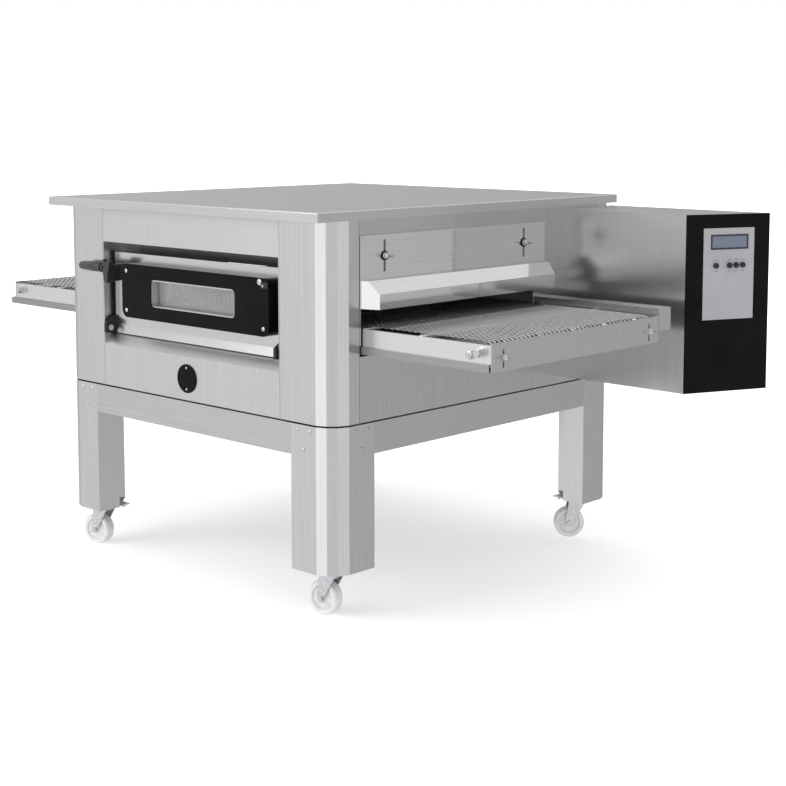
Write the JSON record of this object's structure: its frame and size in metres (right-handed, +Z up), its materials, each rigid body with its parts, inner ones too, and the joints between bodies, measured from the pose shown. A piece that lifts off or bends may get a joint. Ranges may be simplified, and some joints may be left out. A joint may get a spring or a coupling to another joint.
{
  "type": "conveyor pizza oven",
  "caption": "Stainless conveyor pizza oven on a castored stand, with a woven wire belt, a glazed drop-down inspection door, sliding mouth shutters and a side control box.",
  "frame": {"origin": "on the floor, under the middle of the machine's bounding box", "axes": "+X along the conveyor towards the control box, +Y away from the operator, +Z up"},
  "size_m": [1.856, 1.098, 0.924],
  "materials": {
    "brushed_steel": "fine vertical brushing, satin",
    "zinc": "zinc plated, semi-bright",
    "nylon": "moulded white nylon",
    "black_gloss": "glossy black",
    "black_matte": "moulded black",
    "wire_mesh": "woven stainless wire",
    "door_glass": "clear heat-proof glass",
    "mineral_wool": "matted fibre",
    "heater_sheath": "heat-tinted steel sheath",
    "motor_grey": "grey enamel",
    "pad_grey": "printed membrane",
    "lcd": "blue-grey display",
    "board_green": "lacquered board"
  },
  "bodies": {
    "casing": {"legs_front": "brushed_steel", "legs_rear": "brushed_steel", "stand_rails": "brushed_steel", "stand_rivets": "zinc", "caster_plates": "zinc", "base_pan": "brushed_steel", "corner_posts": "brushed_steel", "front_panel": "brushed_steel", "badge": "black_gloss", "side_panel_exit": "brushed_steel", "side_panel_entry": "brushed_steel", "rear_panel": "brushed_steel", "top_cover": "brushed_steel", "tunnel_liner": "brushed_steel", "insulation": "mineral_wool", "heating_elements": "heater_sheath", "fan_motor": "motor_grey", "conveyor_frame": "brushed_steel", "mesh_belt": "wire_mesh", "end_plate_exit": "brushed_steel", "end_plate_entry": "brushed_steel", "drive_channel": "brushed_steel", "drive_chain": "zinc", "gearmotor": "motor_grey", "control_box": "brushed_steel", "control_fascia": "black_gloss", "key_pad": "pad_grey", "display": "lcd", "circuit_board": "board_green", "cable_gland": "black_matte"},
    "door": {"door_panel": "brushed_steel", "door_bezel": "black_gloss", "door_glass": "door_glass", "door_screws": "zinc", "handle_bracket": "black_matte", "handle_grip": "black_matte", "hinge_ears": "black_matte"},
    "shutter_exit": {"shutter_exit": "brushed_steel"},
    "knob_exit_front": {"knob_exit_front": "zinc"},
    "knob_exit_back": {"knob_exit_back": "zinc"},
    "shutter_entry": {"shutter_entry": "brushed_steel"},
    "knob_entry_front": {"knob_entry_front": "zinc"},
    "knob_entry_back": {"knob_entry_back": "zinc"},
    "drive_shaft": {"drive_shaft": "brushed_steel"},
    "idler_shaft": {"idler_shaft": "brushed_steel"},
    "motor_shaft": {"motor_shaft": "zinc"},
    "fan_wheel": {"fan_wheel": "brushed_steel"},
    "crumb_tray": {"crumb_tray": "brushed_steel"},
    "button_1": {"button_1": "black_matte"},
    "button_2": {"button_2": "black_matte"},
    "button_3": {"button_3": "black_matte"},
    "button_4": {"button_4": "black_matte"},
    "fork_front_left": {"caster_fork_front_left": "zinc"},
    "wheel_front_left": {"caster_wheel_front_left": "nylon"},
    "fork_front_right": {"caster_fork_front_right": "zinc"},
    "wheel_front_right": {"caster_wheel_front_right": "nylon"},
    "fork_rear_left": {"caster_fork_rear_left": "zinc"},
    "wheel_rear_left": {"caster_wheel_rear_left": "nylon"},
    "fork_rear_right": {"caster_fork_rear_right": "zinc"},
    "wheel_rear_right": {"caster_wheel_rear_right": "nylon"}
  },
  "joints": [
    {"name": "door_hinge", "type": "hinge", "parent": "casing", "child": "door", "pos_m": [-0.039, -0.499, 0.596], "axis": [1, 0, 0], "range_deg": [0, 90]},
    {"name": "shutter_exit_slide", "type": "slide", "parent": "casing", "child": "shutter_exit", "axis": [0, 0, 1], "range_m": [-0.022, 0.032]},
    {"name": "knob_exit_front_turn", "type": "hinge", "parent": "casing", "child": "knob_exit_front", "pos_m": [0.466, -0.342, 0.8195], "axis": [1, 0, 0], "range_deg": [0, 360]},
    {"name": "knob_exit_back_turn", "type": "hinge", "parent": "casing", "child": "knob_exit_back", "pos_m": [0.466, 0.154, 0.8195], "axis": [1, 0, 0], "range_deg": [0, 360]},
    {"name": "shutter_entry_slide", "type": "slide", "parent": "casing", "child": "shutter_entry", "axis": [0, 0, 1], "range_m": [-0.022, 0.032]},
    {"name": "knob_entry_front_turn", "type": "hinge", "parent": "casing", "child": "knob_entry_front", "pos_m": [-0.544, -0.342, 0.8195], "axis": [-1, 0, 0], "range_deg": [0, 360]},
    {"name": "knob_entry_back_turn", "type": "hinge", "parent": "casing", "child": "knob_entry_back", "pos_m": [-0.544, 0.154, 0.8195], "axis": [-1, 0, 0], "range_deg": [0, 360]},
    {"name": "drive_shaft_turn", "type": "hinge", "parent": "casing", "child": "drive_shaft", "pos_m": [0.804, -0.11, 0.644], "axis": [0, 1, 0], "continuous": true},
    {"name": "idler_shaft_turn", "type": "hinge", "parent": "casing", "child": "idler_shaft", "pos_m": [-0.882, -0.11, 0.644], "axis": [0, 1, 0], "continuous": true},
    {"name": "motor_shaft_turn", "type": "hinge", "parent": "casing", "child": "motor_shaft", "pos_m": [0.521, 0.266, 0.644], "axis": [0, 1, 0], "continuous": true},
    {"name": "fan_turn", "type": "hinge", "parent": "casing", "child": "fan_wheel", "pos_m": [-0.039, 0.25, 0.7], "axis": [0, 1, 0], "continuous": true},
    {"name": "crumb_tray_slide", "type": "slide", "parent": "casing", "child": "crumb_tray", "axis": [-1, 0, 0], "range_m": [0, 0.9]},
    {"name": "button_1_press", "type": "slide", "parent": "casing", "child": "button_1", "axis": [-0.9077, 0.4196, 0], "range_m": [0, 0.002], "stiffness_N_per_m": 900, "springref_m": -0.0008},
    {"name": "button_2_press", "type": "slide", "parent": "casing", "child": "button_2", "axis": [-0.9077, 0.4196, 0], "range_m": [0, 0.002], "stiffness_N_per_m": 900, "springref_m": -0.0008},
    {"name": "button_3_press", "type": "slide", "parent": "casing", "child": "button_3", "axis": [-0.9077, 0.4196, 0], "range_m": [0, 0.002], "stiffness_N_per_m": 900, "springref_m": -0.0008},
    {"name": "button_4_press", "type": "slide", "parent": "casing", "child": "button_4", "axis": [-0.9077, 0.4196, 0], "range_m": [0, 0.002], "stiffness_N_per_m": 900, "springref_m": -0.0008},
    {"name": "swivel_front_left", "type": "hinge", "parent": "casing", "child": "fork_front_left", "pos_m": [-0.47075, -0.43975, 0.0967], "axis": [0, 0, 1], "continuous": true},
    {"name": "roll_front_left", "type": "hinge", "parent": "fork_front_left", "child": "wheel_front_left", "pos_m": [-0.492, -0.44544, 0.04], "axis": [0.2588, -0.9659, 0], "continuous": true},
    {"name": "swivel_front_right", "type": "hinge", "parent": "casing", "child": "fork_front_right", "pos_m": [0.39275, -0.43975, 0.0967], "axis": [0, 0, 1], "continuous": true},
    {"name": "roll_front_right", "type": "hinge", "parent": "fork_front_right", "child": "wheel_front_right", "pos_m": [0.37108, -0.44357, 0.04], "axis": [0.1736, -0.9848, 0], "continuous": true},
    {"name": "swivel_rear_left", "type": "hinge", "parent": "casing", "child": "fork_rear_left", "pos_m": [-0.47075, 0.47975, 0.0967], "axis": [0, 0, 1], "continuous": true},
    {"name": "roll_rear_left", "type": "hinge", "parent": "fork_rear_left", "child": "wheel_rear_left", "pos_m": [-0.4898, 0.49075, 0.04], "axis": [-0.5, -0.866, 0], "continuous": true},
    {"name": "swivel_rear_right", "type": "hinge", "parent": "casing", "child": "fork_rear_right", "pos_m": [0.39275, 0.47975, 0.0967], "axis": [0, 0, 1], "continuous": true},
    {"name": "roll_rear_right", "type": "hinge", "parent": "fork_rear_right", "child": "wheel_rear_right", "pos_m": [0.37719, 0.46419, 0.04], "axis": [0.7071, -0.7071, 0], "continuous": true}
  ],
  "couplings": [
    {"joint": "idler_shaft_turn", "follows": "drive_shaft_turn", "ratio": 1},
    {"joint": "motor_shaft_turn", "follows": "drive_shaft_turn", "ratio": 1}
  ]
}
